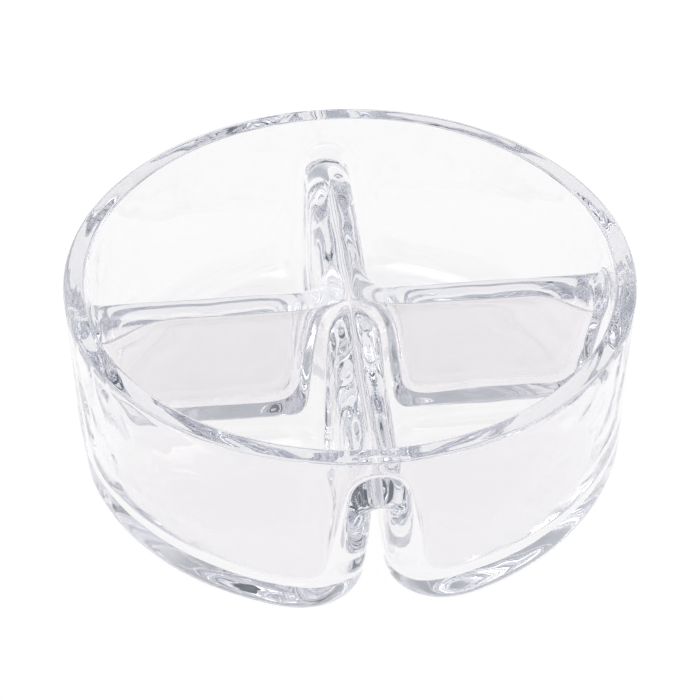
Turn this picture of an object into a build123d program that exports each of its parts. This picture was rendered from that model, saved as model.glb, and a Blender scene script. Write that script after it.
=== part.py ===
"""Divided serving dish: one round, thick-walled glass bowl with four wells between hollow dividers.

The dish is one piece of glass blown over a cross-shaped mould core, so the same cross appears twice: as four
rounded dividers on the inside, and as the open grooves that run under them on the outside. Both surfaces are
made the same way, from a rounded quarter that repeats four times and a round-topped bar with flared ends.
A groove is higher inside the dish than at its mouths. The glass is what lies between the two surfaces. It is
then parted by flat cuts into named regions, which meet face to face.

Frame: millimetres, +Z up, origin at the centre of the circle that the dish stands in, on the surface that it
stands on. The dividers run along X and Y. The front is -Y and the right is +X.
"""

from build123d import *

import os

# Overall size
RIM_RADIUS = 101.5  # outer radius at the top of the wall
HEIGHT = 75.0
DRAFT = 1.2  # the outer wall is this much smaller in radius at the foot
WALL = 7.4  # thickness of the outer wall at the rim
WALL_FOOT = 8.2  # thickness of the outer wall at floor level
FLOOR = 7.5  # thickness of the floor of a well
LIP_ROUND = 0.9  # polished edges of the rim

# Dividers, as seen inside the dish
DIVIDER_DROP = 10.7  # from the rim down to the top of a divider
CREST_RADIUS = 8.8  # half-round top of a divider
DIVIDER_FLARE = 3.2  # blend of a divider into the outer wall, level with its crest
DIVIDER_FOOT_SPREAD = 1.5  # extra half width of a divider at the floor
WELL_HUB_ROUND = 11.0  # corner of a well at the middle of the dish, level with the crests
WELL_HUB_ROUND_FOOT = 18.0  # the same corner at the floor
WELL_WALL_ROUND_FOOT = 12.0  # corners of a well at the outer wall, at the floor
WELL_FLOOR_ROUND = 8.0  # sweep from the floor up into the walls

# Grooves under the dividers
ROOF = 7.0  # glass between the top of an arch and the top of its divider
ARCH_RISE = 7.5  # a groove is this much higher inside the dish than at its mouths
ARCH_RUN = 24.0  # length over which it rises
ARCH_WIDTH = 3.6  # width of a groove up in its arch
ARCH_ROUND = 1.5  # rounding along the top of an arch
GROOVE_RADIUS = 2.0  # half-round top of a groove at its mouths
GROOVE_FLARE = 8.0  # flared mouth of a groove at its top
GROOVE_FOOT_SPREAD = 2.6  # extra half width of a groove at the foot
LOBE_MOUTH_ROUND = 20.0  # corners of a lobe beside the mouths, at the foot
LOBE_HUB_ROUND = 7.0  # corner of a lobe at the middle of the dish, level with the groove tops
LOBE_HUB_ROUND_FOOT = 14.0  # the same corner at the foot
LOBE_EDGE_ROUND = 7.8  # bottom edge of a lobe

# Cuts between the named regions of the glass
RIM_CUT = 7.0  # height of the rim band
WELL_CUT = 2.0  # a well region ends this far above its floor sweep
DIVIDER_CUT = 1.5  # a divider region ends this far outside the blends of its divider

PAST = 5.0  # how far a cutter runs past what it cuts

BASE_RADIUS = RIM_RADIUS - DRAFT
INNER_RADIUS = RIM_RADIUS - WALL
INNER_FOOT_RADIUS = BASE_RADIUS - WALL_FOOT
CREST_AXIS = HEIGHT - DIVIDER_DROP - CREST_RADIUS
ARCH_TOP = HEIGHT - DIVIDER_DROP - ROOF
GROOVE_AXIS = ARCH_TOP - ARCH_RISE - GROOVE_RADIUS
DIVIDER_FOOT = CREST_RADIUS + DIVIDER_FOOT_SPREAD
GROOVE_FOOT = GROOVE_RADIUS + GROOVE_FOOT_SPREAD

# Limits of the named regions
HUB_BLEND = DIVIDER_FOOT + WELL_HUB_ROUND_FOOT * (1 - 0.5**0.5)
ARM = max(CREST_RADIUS + DIVIDER_FLARE, HUB_BLEND) + DIVIDER_CUT
WELL_TOP = FLOOR + WELL_FLOOR_ROUND + WELL_CUT
RIM_BOTTOM = HEIGHT - RIM_CUT
FAR = RIM_RADIUS + PAST

QUARTERS = ("back_right", "back_left", "front_left", "front_right")
SIDES = ("right", "back", "left", "front")


def outer_radius(z):
    """Radius of the outside of the wall at height z."""
    return BASE_RADIUS + DRAFT * z / HEIGHT


def inner_radius(z):
    """Radius of the inside of the wall at height z."""
    return INNER_FOOT_RADIUS + (INNER_RADIUS - INNER_FOOT_RADIUS) * (z - FLOOR) / (HEIGHT - FLOOR)


def quarter_outline(z, radius, half_gap, hub_round, wall_round):
    """Sketch of one rounded quarter of a disc at height z, half_gap away from the X and Y axes."""
    with BuildSketch(Plane.XY.offset(z)) as outline:
        Circle(radius)
        with Locations((half_gap, half_gap)):
            Rectangle(radius, radius, align=(Align.MIN, Align.MIN), mode=Mode.INTERSECT)
        hub_corner = outline.vertices().sort_by_distance((0, 0, z))[0]
        fillet(hub_corner, radius=hub_round)
        wall_corners = outline.vertices().sort_by_distance((0, 0, z))[-2:]
        fillet(wall_corners, radius=wall_round)
    return outline.sketch


def quarter_body(low_outline, high_outline, edge_round):
    """Solid between two quarter outlines, with the edge round the lower one swept up."""
    with BuildPart() as body:
        add(low_outline)
        add(high_outline)
        loft(ruled=True)
        fillet(body.faces().sort_by(Axis.Z)[0].edges(), radius=edge_round)
    return body.part


def flare_start(radius, flare, wall_radius):
    """Distance from the middle of the dish at which a bar starts to flare out towards a round wall."""
    return ((wall_radius - flare) ** 2 - (radius + flare) ** 2) ** 0.5


def flared_bar(radius, flare, wall_radius, axis_z):
    """Round bar along X at height axis_z. Both of its ends flare out in an arc to meet a round wall."""
    arc_y = radius + flare
    arc_x = flare_start(radius, flare, wall_radius)
    reach = wall_radius / (wall_radius - flare)
    side = Vector(arc_x, radius)
    middle = Vector(arc_x, arc_y) + Vector(flare, 0).rotate(Axis.Z, -45)
    wall_x, wall_y = arc_x * reach, arc_y * reach
    end = wall_radius + PAST
    with BuildPart() as bar:
        with BuildSketch(Plane.XZ.shift_origin((0, 0, axis_z))):
            with BuildLine():
                Line((0, 0), (0, radius))
                Line((0, radius), side)
                ThreePointArc(side, middle, (wall_x, wall_y))
                Polyline((wall_x, wall_y), (end, wall_y + end - wall_x), (end, 0), (0, 0))
            make_face()
        revolve(axis=Axis((0, 0, axis_z), (1, 0, 0)))
        mirror(about=Plane.YZ)
    return bar.part


def arched_slot(end_x, low_z, axis_z, top_z):
    """Flat slot along X with a level top at top_z that falls in an arc to height axis_z at both ends."""
    with BuildPart() as slot:
        with BuildSketch(Plane.XZ):
            with BuildLine():
                level = Line((0, top_z), (end_x - ARCH_RUN, top_z))
                fall = TangentArc(level @ 1, (end_x, axis_z), tangent=level % 1)
                Polyline(fall @ 1, (end_x, low_z), (0, low_z), (0, top_z))
            make_face()
            mirror(about=Plane.YZ)
        extrude(amount=ARCH_WIDTH / 2, both=True)
        sides = slot.faces().filter_by(Axis.Y)
        crown = sides.edges().filter_by(lambda edge: edge.center().Z > axis_z)
        fillet(crown, radius=ARCH_ROUND)
    return slot.part


def round_block(low_z, high_z, low_radius, high_radius):
    """Drafted round block between two heights."""
    with BuildPart() as block:
        with BuildSketch(Plane.XZ):
            Polygon((0, low_z), (low_radius, low_z), (high_radius, high_z), (0, high_z), align=None)
        revolve(axis=Axis.Z)
    return block.part


def quartered_form(block, bars, quarter):
    """A round block with a cross of bars cut out of it, standing on four quarters between the bars."""
    with BuildPart() as form:
        add(block)
        for bar in bars:
            add(bar, mode=Mode.SUBTRACT)
            add(bar.rotate(Axis.Z, 90), mode=Mode.SUBTRACT)
        for turn in range(len(QUARTERS)):
            add(quarter.rotate(Axis.Z, 90 * turn))
    return form.part


# Outer surface: the wall above the grooves, and the four lobes that the dish stands on
lobe_foot = quarter_outline(0, BASE_RADIUS, GROOVE_FOOT, LOBE_HUB_ROUND_FOOT, LOBE_MOUTH_ROUND)
lobe_top = quarter_outline(GROOVE_AXIS, outer_radius(GROOVE_AXIS), GROOVE_RADIUS, LOBE_HUB_ROUND, GROOVE_FLARE)
groove_mouth = flare_start(GROOVE_RADIUS, GROOVE_FLARE, outer_radius(GROOVE_AXIS))
groove_bar = flared_bar(GROOVE_RADIUS, GROOVE_FLARE, outer_radius(GROOVE_AXIS), GROOVE_AXIS)
groove_arch = arched_slot(groove_mouth, GROOVE_AXIS - PAST, GROOVE_AXIS, ARCH_TOP)
outer_form = quartered_form(
    round_block(GROOVE_AXIS, HEIGHT, outer_radius(GROOVE_AXIS), RIM_RADIUS),
    (groove_bar, groove_arch),
    quarter_body(lobe_foot, lobe_top, LOBE_EDGE_ROUND),
)

# Inner surface: the open space above the dividers, and the four wells
well_foot = quarter_outline(FLOOR, INNER_FOOT_RADIUS, DIVIDER_FOOT, WELL_HUB_ROUND_FOOT, WELL_WALL_ROUND_FOOT)
well_top = quarter_outline(CREST_AXIS, inner_radius(CREST_AXIS), CREST_RADIUS, WELL_HUB_ROUND, DIVIDER_FLARE)
crest_bar = flared_bar(CREST_RADIUS, DIVIDER_FLARE, inner_radius(CREST_AXIS), CREST_AXIS)
inner_form = quartered_form(
    round_block(CREST_AXIS, HEIGHT, inner_radius(CREST_AXIS), INNER_RADIUS),
    (crest_bar,),
    quarter_body(well_foot, well_top, WELL_FLOOR_ROUND),
)

with BuildPart() as glass:
    add(outer_form)
    add(inner_form, mode=Mode.SUBTRACT)
    fillet(glass.faces().sort_by(Axis.Z)[-1].edges(), radius=LIP_ROUND)

# Named regions. Quarters and sides are listed anticlockwise as seen from above, a quarter turn apart.
os.makedirs("parts", exist_ok=True)

with BuildPart() as rim:
    add(glass.part)
    split(bisect_by=Plane.XY.offset(RIM_BOTTOM), keep=Keep.TOP)
rim.part.label = "rim"
export_step(rim.part, "parts/rim.step")

with BuildPart() as divider_hub:
    add(glass.part)
    Box(2 * ARM, 2 * ARM, 2 * RIM_BOTTOM, mode=Mode.INTERSECT)
divider_hub.part.label = "divider_hub"
export_step(divider_hub.part, "parts/divider_hub.step")

corner = (Align.MIN, Align.MIN, Align.MIN)
for index, quarter_name in enumerate(QUARTERS):
    with BuildPart() as well:
        add(glass.part)
        with Locations(Location((0, 0, 0), (0, 0, 90 * index)) * Location((ARM, ARM, 0))):
            Box(FAR, FAR, WELL_TOP, align=corner, mode=Mode.INTERSECT)
    well.part.label = f"{quarter_name}_well"
    export_step(well.part, f"parts/{quarter_name}_well.step")

    with BuildPart() as wall:
        add(glass.part)
        with Locations(Location((0, 0, 0), (0, 0, 90 * index)) * Location((ARM, ARM, WELL_TOP))):
            Box(FAR, FAR, RIM_BOTTOM - WELL_TOP, align=corner, mode=Mode.INTERSECT)
    wall.part.label = f"{quarter_name}_wall"
    export_step(wall.part, f"parts/{quarter_name}_wall.step")

for index, side_name in enumerate(SIDES):
    with BuildPart() as divider:
        add(glass.part)
        with Locations(Location((0, 0, 0), (0, 0, 90 * index)) * Location((ARM, -ARM, 0))):
            Box(FAR, 2 * ARM, RIM_BOTTOM, align=corner, mode=Mode.INTERSECT)
    divider.part.label = f"{side_name}_divider"
    export_step(divider.part, f"parts/{side_name}_divider.step")
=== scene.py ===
"""Looks of a divided serving dish of heavy clear glass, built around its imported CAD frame.

The dish is one piece of glass, so one closed mesh stands for all of the named regions of the CAD model. It
has two skins, the outside with the cross of open grooves and the inside with the four wells. Both are grown
in the same way from a flat quarter: a grid, raised up its walls, over the bar that parts it from the next
quarter and on up to the rim. Lengths in this file are millimetres until a mesh is finished, and metres after
that, but for the lens and the sensor of the camera.
"""

from __future__ import annotations

import logging
import math
from collections.abc import Callable
from dataclasses import dataclass
from enum import Enum

import bmesh
import bpy
from mathutils import Matrix, Vector, noise

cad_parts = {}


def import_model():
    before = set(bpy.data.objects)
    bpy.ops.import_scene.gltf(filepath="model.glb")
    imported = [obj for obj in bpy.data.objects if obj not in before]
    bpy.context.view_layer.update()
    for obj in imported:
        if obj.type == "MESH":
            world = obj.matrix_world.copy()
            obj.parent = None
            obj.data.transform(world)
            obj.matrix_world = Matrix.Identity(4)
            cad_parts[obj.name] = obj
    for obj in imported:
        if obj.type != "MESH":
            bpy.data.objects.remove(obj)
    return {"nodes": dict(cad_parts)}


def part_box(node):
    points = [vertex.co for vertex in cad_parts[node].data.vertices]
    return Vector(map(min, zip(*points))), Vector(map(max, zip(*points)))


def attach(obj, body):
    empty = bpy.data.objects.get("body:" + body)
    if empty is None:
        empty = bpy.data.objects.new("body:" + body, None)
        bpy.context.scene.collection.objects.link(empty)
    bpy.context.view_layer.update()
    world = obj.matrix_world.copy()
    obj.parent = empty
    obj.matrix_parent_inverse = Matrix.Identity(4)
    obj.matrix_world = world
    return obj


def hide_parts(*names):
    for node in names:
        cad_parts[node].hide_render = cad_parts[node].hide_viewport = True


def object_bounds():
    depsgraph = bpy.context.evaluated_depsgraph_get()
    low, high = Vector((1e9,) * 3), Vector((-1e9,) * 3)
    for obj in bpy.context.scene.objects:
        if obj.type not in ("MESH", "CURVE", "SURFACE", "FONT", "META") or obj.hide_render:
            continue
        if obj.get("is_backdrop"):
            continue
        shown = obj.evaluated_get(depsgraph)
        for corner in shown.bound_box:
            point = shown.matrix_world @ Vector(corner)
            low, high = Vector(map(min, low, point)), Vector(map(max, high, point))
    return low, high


LOG = logging.getLogger("serving_dish")
MM = 0.001
TINY = 0.001
QUARTER_TURN = math.pi / 2
EIGHTH_TURN = math.pi / 4
WHITE = (1.0, 1.0, 1.0, 1.0)


class Skin(Enum):
    """The two faces of the glass, as 1 where the rim rounds inwards and -1 where it rounds outwards."""

    OUTSIDE = 1
    INSIDE = -1


@dataclass(frozen=True)
class Taper:
    """A size that changes with height.

    Attributes:
        foot: Size at the foot.
        top: Size at the top.
        bend: 1 changes evenly with height, and less than 1 changes mostly near the foot.
    """

    foot: float
    top: float
    bend: float = 1.0

    def at(self, share: float) -> float:
        """Gives the size at a share of the height, from 0 at the foot to 1 at the top."""
        return self.foot + (self.top - self.foot) * max(share, 0.0) ** self.bend


@dataclass
class QuarterSkin:
    """One face of the glass over one quarter of the dish, as a flat quarter that is drawn up to the rim.

    Attributes:
        skin: Which face of the glass this is.
        foot_z: Height of the flat foot.
        axis_z: Height of the axis of the bars between the quarters.
        rim_z: Height of the top of the rim.
        wall: Radius of the round wall from the foot up to the rim.
        gap: Half the width of the bar between two quarters, from the foot up to its axis.
        hub_round: Corner of the quarter at the middle of the dish.
        mouth_round: Corners of the quarter where a bar meets the round wall.
        edge_round: Sweep from the flat foot up into the walls.
        lip_round: Rounding of the edge of the rim.
        arch_rise: How much higher a bar is along its middle than at the round wall.
        arch_run: Length over which a bar rises to its full height.
        foot_margin: Strip of the flat foot next to the sweep.
        lip_margin: Strip of the flat rim next to its rounded edge.
        least_round: Smallest corner of an outline.
        hub_steps: Steps round half of the corner at the middle of the dish.
        bar_steps: Steps along the straight side beside a bar.
        mouth_steps: Steps round the corner at the round wall.
        wall_steps: Steps along half of the round wall.
        sweep_steps: Steps up the sweep.
        side_steps: Steps up the walls to the axis of the bars.
        crest_steps: Steps over half of a bar.
        upper_steps: Steps from the bars up to the rim.
        lip_steps: Steps round the edge of the rim.
    """

    skin: Skin
    foot_z: float
    axis_z: float
    rim_z: float
    wall: Taper
    gap: Taper
    hub_round: Taper
    mouth_round: Taper
    edge_round: float
    lip_round: float
    arch_rise: float = 0.0
    arch_run: float = 24.0
    foot_margin: float = 1.2
    lip_margin: float = 0.35
    least_round: float = 0.4
    hub_steps: int = 8
    bar_steps: int = 22
    mouth_steps: int = 12
    wall_steps: int = 30
    sweep_steps: int = 9
    side_steps: int = 16
    crest_steps: int = 9
    upper_steps: int = 9
    lip_steps: int = 4

    @property
    def flare_start(self) -> int:
        """Steps along one bar, from the middle of the dish to the start of its flare."""
        return self.hub_steps + self.bar_steps

    @property
    def flank_steps(self) -> int:
        """Steps along one bar, from the middle of the dish to the round wall."""
        return self.flare_start + self.mouth_steps

    @property
    def loop_steps(self) -> int:
        """Steps round the whole outline."""
        return 2 * (self.flank_steps + self.wall_steps)

    def wall_radius(self, z: float) -> float:
        """Gives the radius of the round wall at height z."""
        return self.wall.at((z - self.foot_z) / (self.rim_z - self.foot_z))

    def half_outline(self, z: float, inset: float) -> list[Vector]:
        """Draws half of the outline at one height, from the middle of the dish to the middle of the wall.

        Args:
            z: Height of the outline.
            inset: How far inside the walls the outline runs.

        Returns:
            The points in order, in the half of the quarter next to the X axis.
        """
        share = (z - self.foot_z) / (self.axis_z - self.foot_z)
        gap = self.gap.at(share) + inset
        hub = max(self.hub_round.at(share) - inset, self.least_round)
        mouth = max(self.mouth_round.at(share) - inset, self.least_round)
        radius = self.wall_radius(z) - inset
        hub_centre = gap + hub
        mouth_y = gap + mouth
        mouth_x = math.sqrt((radius - mouth) ** 2 - mouth_y**2)
        mouth_end = math.atan2(mouth_y, mouth_x)
        points = []
        for step in range(self.hub_steps):
            angle = math.pi + EIGHTH_TURN * (1 + step / self.hub_steps)
            points.append(Vector((hub_centre + hub * math.cos(angle), hub_centre + hub * math.sin(angle), z)))
        for step in range(self.bar_steps):
            along = step / self.bar_steps
            points.append(Vector((hub_centre + (mouth_x - hub_centre) * along, gap, z)))
        for step in range(self.mouth_steps):
            angle = -QUARTER_TURN + (QUARTER_TURN + mouth_end) * step / self.mouth_steps
            points.append(Vector((mouth_x + mouth * math.cos(angle), mouth_y + mouth * math.sin(angle), z)))
        for step in range(self.wall_steps + 1):
            angle = mouth_end + (EIGHTH_TURN - mouth_end) * step / self.wall_steps
            points.append(Vector((radius * math.cos(angle), radius * math.sin(angle), z)))
        return points

    def outline(self, z: float, inset: float = 0.0) -> list[Vector]:
        """Draws the whole closed outline at one height, anticlockwise from the middle of the dish.

        Args:
            z: Height of the outline.
            inset: How far inside the walls the outline runs.

        Returns:
            One point for each step round the outline.
        """
        half = self.half_outline(z, inset)
        return half + [point.yxz for point in reversed(half[1:-1])]

    def bar_point(self, index: int, turn: float, level: list[Vector]) -> Vector:
        """Places a point on the round bar between this quarter and the next.

        Args:
            index: Place along the outline, less than nothing on the far side of the middle of the dish.
            turn: Angle round the bar, from 0 level with its axis to a quarter turn over it.
            level: The outline level with the axis of the bars.

        Returns:
            The point on the bar.
        """
        step = abs(index)
        start = level[step]
        across, rise = math.cos(turn), math.sin(turn)
        ease = min(max((level[self.flare_start].x - start.x) / self.arch_run, 0.0), 1.0)
        top = self.gap.top + self.arch_rise * ease * ease * (3 - 2 * ease)
        if step <= self.hub_steps:
            middle = Vector((level[self.hub_steps].x * step / self.hub_steps, 0.0, self.axis_z))
            point = middle.lerp(start, across)
            point.z = self.axis_z + top * rise
        elif step <= self.flare_start:
            point = Vector((start.x, self.gap.top * across, self.axis_z + top * rise))
        else:
            point = self.flare_point(step - self.flare_start, across, rise)
        return point if index >= 0 else point.yxz

    def flare_point(self, step: int, across: float, rise: float) -> Vector:
        """Places a point on the flare of a bar into the round wall.

        Args:
            step: Steps from the start of the flare.
            across: Cosine of the angle round the bar.
            rise: Sine of the angle round the bar.

        Returns:
            The point on the flare, or on the round wall at its end.
        """
        flare = self.mouth_round.top
        spread = self.gap.top + flare
        radius = self.wall_radius(self.axis_z + spread * rise)
        centre_x = math.sqrt((radius - flare) ** 2 - (spread * across) ** 2)
        end = math.atan2(spread * across * across, centre_x)
        angle = -QUARTER_TURN + (QUARTER_TURN + end) * step / self.mouth_steps
        reach = spread + flare * math.sin(angle)
        point = Vector((centre_x + flare * math.cos(angle), reach * across, self.axis_z + reach * rise))
        if step == self.mouth_steps:
            point.x = math.sqrt(self.wall_radius(point.z) ** 2 - point.y**2)
        return point

    def build(self) -> bmesh.types.BMesh:
        """Grows the skin of one quarter.

        Returns:
            An open mesh from the flat foot to the top of the rim.
        """
        mesh = bmesh.new()
        place = mesh.verts.layers.int.new("place")
        side = mesh.verts.layers.int.new("side")
        self.lay_foot(mesh, place)
        self.raise_walls(mesh, place)
        self.cross_bars(mesh, place)
        self.raise_rim(mesh, place)
        for vert in mesh.verts:
            vert[side] = self.skin.value
        LOG.info("%s skin of a quarter: %d faces", self.skin.name.lower(), len(mesh.faces))
        return mesh

    def lay_foot(self, mesh: bmesh.types.BMesh, place: bmesh.types.BMLayerItem) -> None:
        """Lays the flat foot as a square grid that is stretched to fit the outline.

        Args:
            mesh: The mesh to build in.
            place: Layer that holds each point's place along the outline.
        """
        outline = self.outline(self.foot_z, self.edge_round + self.foot_margin)
        total = self.loop_steps
        side = total // 4
        bmesh.ops.create_grid(mesh, x_segments=side, y_segments=side, size=side / 2)
        for vert in mesh.verts:
            column, row = round(vert.co.x + side / 2), round(vert.co.y + side / 2)
            u, v = column / side, row / side
            south, north = outline[column], outline[(3 * side - column) % total]
            west, east = outline[(total - row) % total], outline[side + row]
            edges = south.lerp(north, v) + west.lerp(east, u)
            corners = outline[0].lerp(outline[side], u).lerp(outline[3 * side].lerp(outline[2 * side], u), v)
            vert.co = edges - corners
            vert[place] = self.border_place(column, row, side)

    @staticmethod
    def border_place(column: int, row: int, side: int) -> int:
        """Gives the place along the outline of a point on the border of the grid, or -1 inside it.

        Args:
            column: Column of the point.
            row: Row of the point.
            side: Number of cells along each side of the grid.

        Returns:
            The place, from 0 at the corner in the middle of the dish.
        """
        if row == 0:
            return column
        if column == side:
            return side + row
        if row == side:
            return 3 * side - column
        return 4 * side - row if column == 0 else -1

    def raise_walls(self, mesh: bmesh.types.BMesh, place: bmesh.types.BMLayerItem) -> None:
        """Sweeps the edge of the foot up into the walls and raises them to the axis of the bars.

        Args:
            mesh: The mesh to build in.
            place: Layer that holds each point's place along the outline.
        """
        levels = [(self.foot_z, self.edge_round)]
        for step in range(1, self.sweep_steps + 1):
            turn = QUARTER_TURN * step / self.sweep_steps
            lift = self.edge_round * (1 - math.cos(turn))
            levels.append((self.foot_z + lift, self.edge_round * (1 - math.sin(turn))))
        low = self.foot_z + self.edge_round
        for step in range(1, self.side_steps + 1):
            levels.append((low + (self.axis_z - low) * step / self.side_steps, 0.0))
        front = [edge for edge in mesh.edges if edge.is_boundary]
        for z, inset in levels:
            front = extrude_row(mesh, front, place, self.outline(z, inset).__getitem__)

    def cross_bars(self, mesh: bmesh.types.BMesh, place: bmesh.types.BMLayerItem) -> None:
        """Carries the skin over half of the two bars beside this quarter.

        Args:
            mesh: The mesh to build in.
            place: Layer that holds each point's place along the outline.
        """
        level = self.outline(self.axis_z)
        flank = self.flank_steps
        for vert in mesh.verts:
            if vert[place] >= self.loop_steps - flank:
                vert[place] -= self.loop_steps
        front = [
            edge
            for edge in mesh.edges
            if edge.is_boundary and all(-flank <= vert[place] <= flank for vert in edge.verts)
        ]
        for step in range(1, self.crest_steps + 1):
            turn = QUARTER_TURN * step / self.crest_steps
            front = extrude_row(mesh, front, place, lambda index: self.bar_point(index, turn, level))

    def raise_rim(self, mesh: bmesh.types.BMesh, place: bmesh.types.BMLayerItem) -> None:
        """Raises the round wall above the bars to the rim and rounds the edge of the rim.

        Args:
            mesh: The mesh to build in.
            place: Layer that holds each point's place along the outline.
        """
        flank = self.flank_steps
        front = [
            edge
            for edge in mesh.edges
            if edge.is_boundary and not any(-flank < vert[place] < flank for vert in edge.verts)
        ]
        row = sorted({vert for edge in front for vert in edge.verts}, key=lambda vert: bearing(vert.co))
        feet = [(bearing(vert.co), vert.co.z) for vert in row]
        for order, vert in enumerate(row):
            vert[place] = order
        shoulder = self.rim_z - self.lip_round

        def wall_point(order: int, rise: float) -> Vector:
            """Places a point on the round wall.

            Args:
                order: Place of the point along the row.
                rise: Share of the way up from the bars to the shoulder of the rim.

            Returns:
                The point.
            """
            foot_angle, foot_z = feet[order]
            angle = foot_angle + (QUARTER_TURN * order / (len(feet) - 1) - foot_angle) * rise
            z = foot_z + (shoulder - foot_z) * rise
            radius = self.wall_radius(z)
            return Vector((radius * math.cos(angle), radius * math.sin(angle), z))

        def lip_point(order: int, turn: float, margin: float) -> Vector:
            """Places a point on the rounded edge of the rim, or past it on the flat top.

            Args:
                order: Place of the point along the row.
                turn: Angle round the edge, from 0 at the wall to a quarter turn at the flat top.
                margin: How far past the edge the point lies.

            Returns:
                The point.
            """
            point = wall_point(order, 1.0)
            inward = self.skin.value * (self.lip_round * (1 - math.cos(turn)) + margin)
            point.xy *= 1 - inward / point.xy.length
            point.z = shoulder + self.lip_round * math.sin(turn)
            return point

        for step in range(1, self.upper_steps + 1):
            front = extrude_row(mesh, front, place, lambda order: wall_point(order, step / self.upper_steps))
        for step in range(1, self.lip_steps + 1):
            turn = QUARTER_TURN * step / self.lip_steps
            front = extrude_row(mesh, front, place, lambda order: lip_point(order, turn, 0.0))
        extrude_row(mesh, front, place, lambda order: lip_point(order, QUARTER_TURN, self.lip_margin))


def bearing(point: Vector) -> float:
    """Gives the angle of a point round the dish, from the X axis."""
    return math.atan2(point.y, point.x)


def extrude_row(
    mesh: bmesh.types.BMesh,
    front: list[bmesh.types.BMEdge],
    place: bmesh.types.BMLayerItem,
    position: Callable[[int], Vector],
) -> list[bmesh.types.BMEdge]:
    """Extrudes a row of edges and puts each new point in its place.

    Args:
        mesh: The mesh to build in.
        front: The edges to extrude.
        place: Layer that holds each point's place along the row.
        position: Gives the position of a point from its place.

    Returns:
        The new row of edges.
    """
    made = bmesh.ops.extrude_edge_only(mesh, edges=front)["geom"]
    fresh = {item for item in made if isinstance(item, bmesh.types.BMVert)}
    for vert in fresh:
        vert.co = position(vert[place])
    return [item for item in made if isinstance(item, bmesh.types.BMEdge) and fresh.issuperset(item.verts)]


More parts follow.
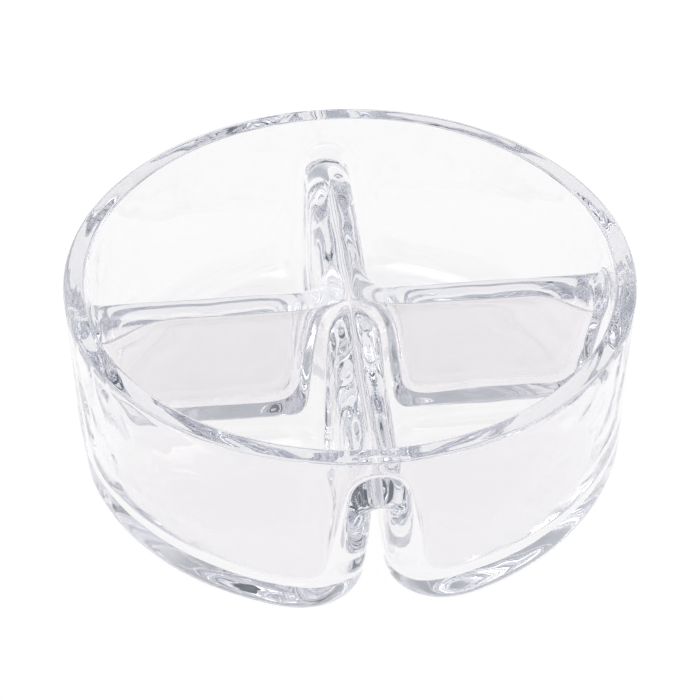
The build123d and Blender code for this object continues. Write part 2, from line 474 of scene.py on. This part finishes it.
@dataclass
class GlassDish:
    """The whole dish as one closed piece of clear glass.

    Attributes:
        height: Height of the dish.
        rim_radius: Outer radius at the top of the wall.
        crest_z: Height of the top of a divider.
        draft: The outer wall is this much smaller in radius at the foot.
        wall_top: Thickness of the wall at the rim.
        wall_foot: Thickness of the wall at the floor.
        floor: Thickness of the floor of a well.
        crest_radius: Half-round top of a divider.
        roof: Glass between the top of an arch and the top of its divider.
        arch_rise: A groove is this much higher inside the dish than at its mouths.
        groove_radius: Half-round top of a groove at its mouths.
        groove_foot: Half the width of a groove at the foot.
        groove_bend: How a groove narrows upwards, as in Taper.
        mouth_bend: How the flare of a groove's mouth shrinks upwards.
        divider_foot: Half the width of a divider at the floor of a well.
        lip_round: Rounding of both edges of the rim.
        calm_rim: Band below the rim that isn't blended.
        inner_passes: How often the inside is blended.
        outer_passes: How often the outside is blended.
        wave_height: How far the hand-blown surface strays.
        wave_length: Distance over which it strays.
        fine_share: Size of the finer waves on it, against the broad ones.
        calm_top: Band below the rim over which the waves fade.
        calm_foot: Band above the foot over which they fade.
    """

    height: float
    rim_radius: float
    crest_z: float
    draft: float = 1.2
    wall_top: float = 7.4
    wall_foot: float = 8.2
    floor: float = 7.5
    crest_radius: float = 8.8
    roof: float = 7.0
    arch_rise: float = 7.5
    groove_radius: float = 2.0
    groove_foot: float = 5.0
    groove_bend: float = 0.5
    mouth_bend: float = 0.4
    divider_foot: float = 10.3
    lip_round: float = 0.9
    calm_rim: float = 3.0
    inner_passes: int = 24
    outer_passes: int = 6
    wave_height: float = 0.35
    wave_length: float = 26.0
    fine_share: float = 0.35
    calm_top: float = 8.0
    calm_foot: float = 10.0

    @classmethod
    def from_frame(cls) -> GlassDish:
        """Takes the overall sizes of the dish from the CAD regions.

        Returns:
            The dish, at the size of the frame.
        """
        rim_low, rim_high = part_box("rim")
        hub_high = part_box("divider_hub")[1]
        return cls(
            height=rim_high[2] / MM,
            rim_radius=(rim_high[0] - rim_low[0]) / 2 / MM,
            crest_z=hub_high[2] / MM,
        )

    @property
    def foot_radius(self) -> float:
        """Outer radius at the foot."""
        return self.rim_radius - self.draft

    def outside(self) -> QuarterSkin:
        """Describes the outer face of one quarter.

        Returns:
            A lobe that the dish stands on, and the wall over it.
        """
        return QuarterSkin(
            skin=Skin.OUTSIDE,
            foot_z=0.0,
            axis_z=self.crest_z - self.roof - self.arch_rise - self.groove_radius,
            rim_z=self.height,
            wall=Taper(foot=self.foot_radius, top=self.rim_radius),
            gap=Taper(foot=self.groove_foot, top=self.groove_radius, bend=self.groove_bend),
            hub_round=Taper(foot=14.0, top=7.0),
            mouth_round=Taper(foot=26.5, top=8.0, bend=self.mouth_bend),
            edge_round=7.8,
            lip_round=self.lip_round,
            arch_rise=self.arch_rise,
        )

    def inside(self) -> QuarterSkin:
        """Describes the inner face of one quarter.

        Returns:
            A well, and the wall over it.
        """
        return QuarterSkin(
            skin=Skin.INSIDE,
            foot_z=self.floor,
            axis_z=self.crest_z - self.crest_radius,
            rim_z=self.height,
            wall=Taper(foot=self.foot_radius - self.wall_foot, top=self.rim_radius - self.wall_top),
            gap=Taper(foot=self.divider_foot, top=self.crest_radius),
            hub_round=Taper(foot=18.0, top=11.0),
            mouth_round=Taper(foot=12.0, top=3.2),
            edge_round=8.0,
            lip_round=self.lip_round,
        )

    def build(self) -> bpy.types.Object:
        """Builds the dish.

        Returns:
            The finished object, in metres at its place in the frame.
        """
        mesh = bmesh.new()
        for skin in (self.outside(), self.inside()):
            quarter = skin.build()
            shell = bpy.data.meshes.new("quarter")
            quarter.to_mesh(shell)
            quarter.free()
            mesh.from_mesh(shell)
            bpy.data.meshes.remove(shell)
        for axis in ("X", "Y"):
            whole = mesh.verts[:] + mesh.edges[:] + mesh.faces[:]
            bmesh.ops.mirror(mesh, geom=whole, merge_dist=0.0, axis=axis)
        bmesh.ops.remove_doubles(mesh, verts=mesh.verts[:], dist=TINY)
        bmesh.ops.bridge_loops(mesh, edges=[edge for edge in mesh.edges if edge.is_boundary])
        bmesh.ops.recalc_face_normals(mesh, faces=mesh.faces[:])
        self.soften(mesh)
        self.wave(mesh)
        bmesh.ops.scale(mesh, vec=Vector((MM, MM, MM)), verts=mesh.verts[:])
        return finished("blown_glass_dish", mesh)

    def soften(self, mesh: bmesh.types.BMesh) -> None:
        """Blends the rounds into the walls, the floors and the crests, as glass does while it is hot.

        Args:
            mesh: The closed mesh of the dish.
        """
        side = mesh.verts.layers.int["side"]
        level = self.height - self.calm_rim
        for skin, passes in ((Skin.INSIDE, self.inner_passes), (Skin.OUTSIDE, self.outer_passes)):
            soft = [vert for vert in mesh.verts if vert[side] == skin.value and TINY < vert.co.z < level]
            for _ in range(passes):
                bmesh.ops.smooth_vert(
                    mesh, verts=soft, factor=0.5, use_axis_x=True, use_axis_y=True, use_axis_z=True
                )

    def wave(self, mesh: bmesh.types.BMesh) -> None:
        """Lets the surfaces stray a little, as hand-blown glass does, but not the rim or the foot.

        Args:
            mesh: The closed mesh of the dish.
        """
        mesh.normal_update()
        for vert in mesh.verts:
            calm = min(1.0, (self.height - vert.co.z) / self.calm_top, max(vert.co.z, 0.0) / self.calm_foot)
            broad = noise.noise(vert.co / self.wave_length)
            fine = noise.noise(vert.co / self.wave_length / self.fine_share)
            vert.co += vert.normal * (self.wave_height * calm * (broad + self.fine_share * fine))


def finished(name: str, mesh: bmesh.types.BMesh) -> bpy.types.Object:
    """Turns a finished mesh into a smooth object in the scene.

    Args:
        name: Name of the piece.
        mesh: Its mesh, in metres. It is freed.

    Returns:
        The new object, at the origin.
    """
    for layer in mesh.verts.layers.int.values():
        mesh.verts.layers.int.remove(layer)
    for face in mesh.faces:
        face.smooth = True
    data = bpy.data.meshes.new(name)
    mesh.to_mesh(data)
    mesh.free()
    piece = bpy.data.objects.new(name, data)
    bpy.context.scene.collection.objects.link(piece)
    return piece


def ripple_group() -> bpy.types.ShaderNodeTree:
    """Makes the node group for the faint unevenness of a surface, the first time that it is asked for.

    Returns:
        The group, which gives a height that rolls over the surface and a mask of a few soft smudges.
    """
    name = "faint_ripple"
    if name in bpy.data.node_groups:
        return bpy.data.node_groups[name]
    tree = bpy.data.node_groups.new(name, "ShaderNodeTree")
    tree.interface.new_socket("Vector", in_out="INPUT", socket_type="NodeSocketVector")
    tree.interface.new_socket("Ripple Scale", in_out="INPUT", socket_type="NodeSocketFloat")
    tree.interface.new_socket("Smudge Scale", in_out="INPUT", socket_type="NodeSocketFloat")
    tree.interface.new_socket("Height", in_out="OUTPUT", socket_type="NodeSocketFloat")
    tree.interface.new_socket("Smudge", in_out="OUTPUT", socket_type="NodeSocketFloat")
    enter = tree.nodes.new("NodeGroupInput")
    leave = tree.nodes.new("NodeGroupOutput")
    ripple = tree.nodes.new("ShaderNodeTexNoise")
    ripple.inputs["Detail"].default_value = 1.0
    patches = tree.nodes.new("ShaderNodeTexNoise")
    patches.inputs["Detail"].default_value = 3.0
    soft = tree.nodes.new("ShaderNodeMapRange")
    soft.interpolation_type = "SMOOTHSTEP"
    soft.inputs["From Min"].default_value = 0.55
    soft.inputs["From Max"].default_value = 0.8
    tree.links.new(enter.outputs["Vector"], ripple.inputs["Vector"])
    tree.links.new(enter.outputs["Ripple Scale"], ripple.inputs["Scale"])
    tree.links.new(enter.outputs["Vector"], patches.inputs["Vector"])
    tree.links.new(enter.outputs["Smudge Scale"], patches.inputs["Scale"])
    tree.links.new(patches.outputs["Fac"], soft.inputs["Value"])
    tree.links.new(ripple.outputs["Fac"], leave.inputs["Height"])
    tree.links.new(soft.outputs["Result"], leave.inputs["Smudge"])
    return tree


@dataclass(frozen=True)
class Finish:
    """A surface whose roughness and relief come from the faint ripple.

    Attributes:
        name: Name of the material.
        colour: Plain colour.
        clean: Roughness of the clean surface.
        smudged: Roughness where a smudge is.
        ripple_scale: Ripples to the metre.
        smudge_scale: Smudges to the metre.
        relief: Depth of the ripples, in metres.
        drawn_out: How much longer the ripples are upwards than across.
    """

    name: str
    colour: tuple[float, float, float]
    clean: float
    smudged: float
    ripple_scale: float
    smudge_scale: float
    relief: float
    drawn_out: float = 1.0

    def material(self) -> bpy.types.Material:
        """Makes the material.

        Returns:
            The new material, with the ripple on its Principled shader.
        """
        material = bpy.data.materials.new(self.name)
        material.use_nodes = True
        nodes, links = material.node_tree.nodes, material.node_tree.links
        shader = nodes["Principled BSDF"]
        shader.inputs["Base Color"].default_value = (*self.colour, 1.0)
        place = nodes.new("ShaderNodeTexCoord")
        mapping = nodes.new("ShaderNodeMapping")
        mapping.inputs["Scale"].default_value = (1.0, 1.0, 1.0 / self.drawn_out)
        ripple = nodes.new("ShaderNodeGroup")
        ripple.node_tree = ripple_group()
        ripple.inputs["Ripple Scale"].default_value = self.ripple_scale
        ripple.inputs["Smudge Scale"].default_value = self.smudge_scale
        rough = nodes.new("ShaderNodeMapRange")
        rough.inputs["To Min"].default_value = self.clean
        rough.inputs["To Max"].default_value = self.smudged
        bump = nodes.new("ShaderNodeBump")
        bump.inputs["Distance"].default_value = self.relief
        links.new(place.outputs["Object"], mapping.inputs["Vector"])
        links.new(mapping.outputs["Vector"], ripple.inputs["Vector"])
        links.new(ripple.outputs["Smudge"], rough.inputs["Value"])
        links.new(rough.outputs["Result"], shader.inputs["Roughness"])
        links.new(ripple.outputs["Height"], bump.inputs["Height"])
        links.new(bump.outputs["Normal"], shader.inputs["Normal"])
        return material


@dataclass(frozen=True)
class ClearGlass:
    """Fire-polished clear glass that turns a little cooler where light runs a long way inside it.

    Attributes:
        finish: Its surface.
        ior: Index of refraction.
        depth_colour: Colour that is left over a long way inside the glass.
        depth_density: How fast the glass takes on that colour, per metre.
    """

    finish: Finish = Finish(
        name="clear_glass",
        colour=(0.955, 0.945, 0.95),
        clean=0.0,
        smudged=0.012,
        ripple_scale=55.0,
        smudge_scale=14.0,
        relief=0.00006,
        drawn_out=2.5,
    )
    ior: float = 1.5
    depth_colour: tuple[float, float, float] = (0.90, 0.905, 0.93)
    depth_density: float = 10.0

    def material(self) -> bpy.types.Material:
        """Makes the material.

        Returns:
            The glass, with what its depth takes off the light.
        """
        material = self.finish.material()
        nodes, links = material.node_tree.nodes, material.node_tree.links
        shader = nodes["Principled BSDF"]
        shader.inputs["IOR"].default_value = self.ior
        shader.inputs["Transmission Weight"].default_value = 1.0
        body = nodes.new("ShaderNodeVolumeAbsorption")
        body.inputs["Color"].default_value = (*self.depth_colour, 1.0)
        body.inputs["Density"].default_value = self.depth_density
        links.new(body.outputs["Volume"], nodes["Material Output"].inputs["Volume"])
        return material


@dataclass(frozen=True)
class LightZone:
    """A part of the studio round the dish that is brighter or dimmer than the rest, with a soft edge.

    Attributes:
        towards: The way to the middle of the zone.
        edge: Angle from there to its outer edge, in degrees.
        core: Angle from there to where it is full, in degrees.
        amount: Brightness of the full zone, where 1 is the white studio.
    """

    towards: tuple[float, float, float]
    edge: float
    core: float
    amount: float


@dataclass(frozen=True)
class Studio:
    """Pale table, soft surroundings and the camera.

    Attributes:
        azimuth: Angle of the camera round the dish, in degrees from the front.
        elevation: Angle of the camera above the table, in degrees.
        distance: Distance of the camera from the middle of the dish, in metres.
        focal_length: Focal length of the lens, in millimetres.
        sensor: Width of its sensor, in millimetres.
        table_reach: Half the width of the table, in metres.
        table_drop: The table lies this far below the foot of the dish, in metres.
        table_glow: Light of its own that the table gives, as on a lit sweep.
        bounces: How often light may be turned inside the glass.
        shade: Colour of a zone that gives no light of its own.
        zones: Zones of the surroundings that aren't plain white.
    """

    azimuth: float = -5.9
    elevation: float = 40.14
    distance: float = 0.836
    focal_length: float = 117.7
    sensor: float = 36.0
    table_reach: float = 3.0
    table_drop: float = 0.0002
    table_glow: float = 0.97
    bounces: int = 200
    shade: tuple[float, float, float] = (0.70, 0.82, 1.0)
    zones: tuple[LightZone, ...] = (
        LightZone(towards=(0.0, 1.0, 0.4), edge=72.5, core=31.8, amount=0.6),
        LightZone(towards=(0.15, -0.72, 0.68), edge=30.7, core=21.6, amount=0.15),
        LightZone(towards=(-0.9, -0.35, 0.3), edge=25.8, core=16.3, amount=0.15),
        LightZone(towards=(0.9, -0.2, 0.45), edge=25.8, core=16.3, amount=0.2),
        LightZone(towards=(-0.3, -0.1, 1.0), edge=21.6, core=14.1, amount=2.5),
    )

    def build(self, middle: Vector) -> None:
        """Builds the studio.

        Args:
            middle: Middle of the dish, in metres.
        """
        self.lay_table()
        self.light_surroundings()
        self.place_camera(middle)

    def lay_table(self) -> None:
        """Lays a wide pale table under the dish."""
        mesh = bmesh.new()
        bmesh.ops.create_grid(mesh, x_segments=1, y_segments=1, size=self.table_reach)
        bmesh.ops.translate(mesh, vec=Vector((0, 0, -self.table_drop)), verts=mesh.verts[:])
        table = finished("table", mesh)
        material = Finish(
            name="pale_table",
            colour=(0.05, 0.05, 0.05),
            clean=0.75,
            smudged=0.85,
            ripple_scale=6.0,
            smudge_scale=2.0,
            relief=0.0001,
        ).material()
        shader = material.node_tree.nodes["Principled BSDF"]
        shader.inputs["Emission Color"].default_value = WHITE
        shader.inputs["Emission Strength"].default_value = self.table_glow
        table.data.materials.append(material)
        table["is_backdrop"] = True

    def light_surroundings(self) -> None:
        """Surrounds the dish with a white studio that has softly brighter and dimmer zones."""
        world = bpy.data.worlds.new("studio")
        world.use_nodes = True
        tree = world.node_tree
        background = tree.nodes["Background"]
        way = tree.nodes.new("ShaderNodeTexCoord").outputs["Generated"]
        plain = tree.nodes.new("ShaderNodeValue")
        plain.outputs["Value"].default_value = 1.0
        light = plain.outputs["Value"]
        for zone in self.zones:
            light = self.add_zone(tree, way, light, zone)
        tint = tree.nodes.new("ShaderNodeMix")
        tint.data_type = "RGBA"
        shaded, lit = (socket for socket in tint.inputs if socket.type == "RGBA")
        shaded.default_value = (*self.shade, 1.0)
        lit.default_value = WHITE
        colour = next(socket for socket in tint.outputs if socket.type == "RGBA")
        tree.links.new(light, tint.inputs["Factor"])
        tree.links.new(colour, background.inputs["Color"])
        tree.links.new(light, background.inputs["Strength"])
        bpy.context.scene.world = world

    @staticmethod
    def add_zone(
        tree: bpy.types.ShaderNodeTree,
        way: bpy.types.NodeSocket,
        light: bpy.types.NodeSocket,
        zone: LightZone,
    ) -> bpy.types.NodeSocket:
        """Multiplies one zone into the light of the surroundings.

        Args:
            tree: Nodes of the surroundings.
            way: Socket that gives the way looked in.
            light: Socket that gives the light so far.
            zone: The zone to add.

        Returns:
            The socket that gives the light with the zone in it.
        """
        towards = tree.nodes.new("ShaderNodeVectorMath")
        towards.operation = "DOT_PRODUCT"
        towards.inputs[1].default_value = Vector(zone.towards).normalized()
        tree.links.new(way, towards.inputs[0])
        spread = tree.nodes.new("ShaderNodeMapRange")
        spread.interpolation_type = "SMOOTHSTEP"
        spread.inputs["From Min"].default_value = math.cos(math.radians(zone.edge))
        spread.inputs["From Max"].default_value = math.cos(math.radians(zone.core))
        spread.inputs["To Min"].default_value = 1.0
        spread.inputs["To Max"].default_value = zone.amount
        tree.links.new(towards.outputs["Value"], spread.inputs["Value"])
        product = tree.nodes.new("ShaderNodeMath")
        product.operation = "MULTIPLY"
        tree.links.new(light, product.inputs[0])
        tree.links.new(spread.outputs["Result"], product.inputs[1])
        return product.outputs["Value"]

    def place_camera(self, middle: Vector) -> None:
        """Places the camera, and lets light bounce often enough to get out of thick glass.

        Args:
            middle: Middle of the dish, in metres.
        """
        lens = bpy.data.cameras.new("camera")
        lens.lens = self.focal_length
        lens.sensor_width = self.sensor
        lens.clip_start = 0.01
        camera = bpy.data.objects.new("camera", lens)
        turn = Matrix.Rotation(math.radians(self.azimuth), 4, "Z")
        tilt = math.radians(self.elevation)
        towards = turn @ Vector((0, -math.cos(tilt), math.sin(tilt)))
        camera.location = middle + towards * self.distance
        camera.rotation_euler = (middle - camera.location).to_track_quat("-Z", "Y").to_euler()
        scene = bpy.context.scene
        scene.collection.objects.link(camera)
        scene.camera = camera
        scene.view_settings.view_transform = "Standard"
        scene.cycles.max_bounces = self.bounces
        scene.cycles.transmission_bounces = self.bounces
        scene.cycles.glossy_bounces = self.bounces


def main() -> None:
    """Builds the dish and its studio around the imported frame."""
    logging.basicConfig(level=logging.INFO, format="%(name)s: %(message)s")
    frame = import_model()
    cad_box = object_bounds()
    dish = GlassDish.from_frame().build()
    dish.data.materials.append(ClearGlass().material())
    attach(dish, "root")
    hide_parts(*frame["nodes"])
    LOG.info("%s: %d faces", dish.name, len(dish.data.polygons))
    low, high = cad_box
    Studio().build((Vector(low) + Vector(high)) / 2)


if __name__ == "__main__":
    main()
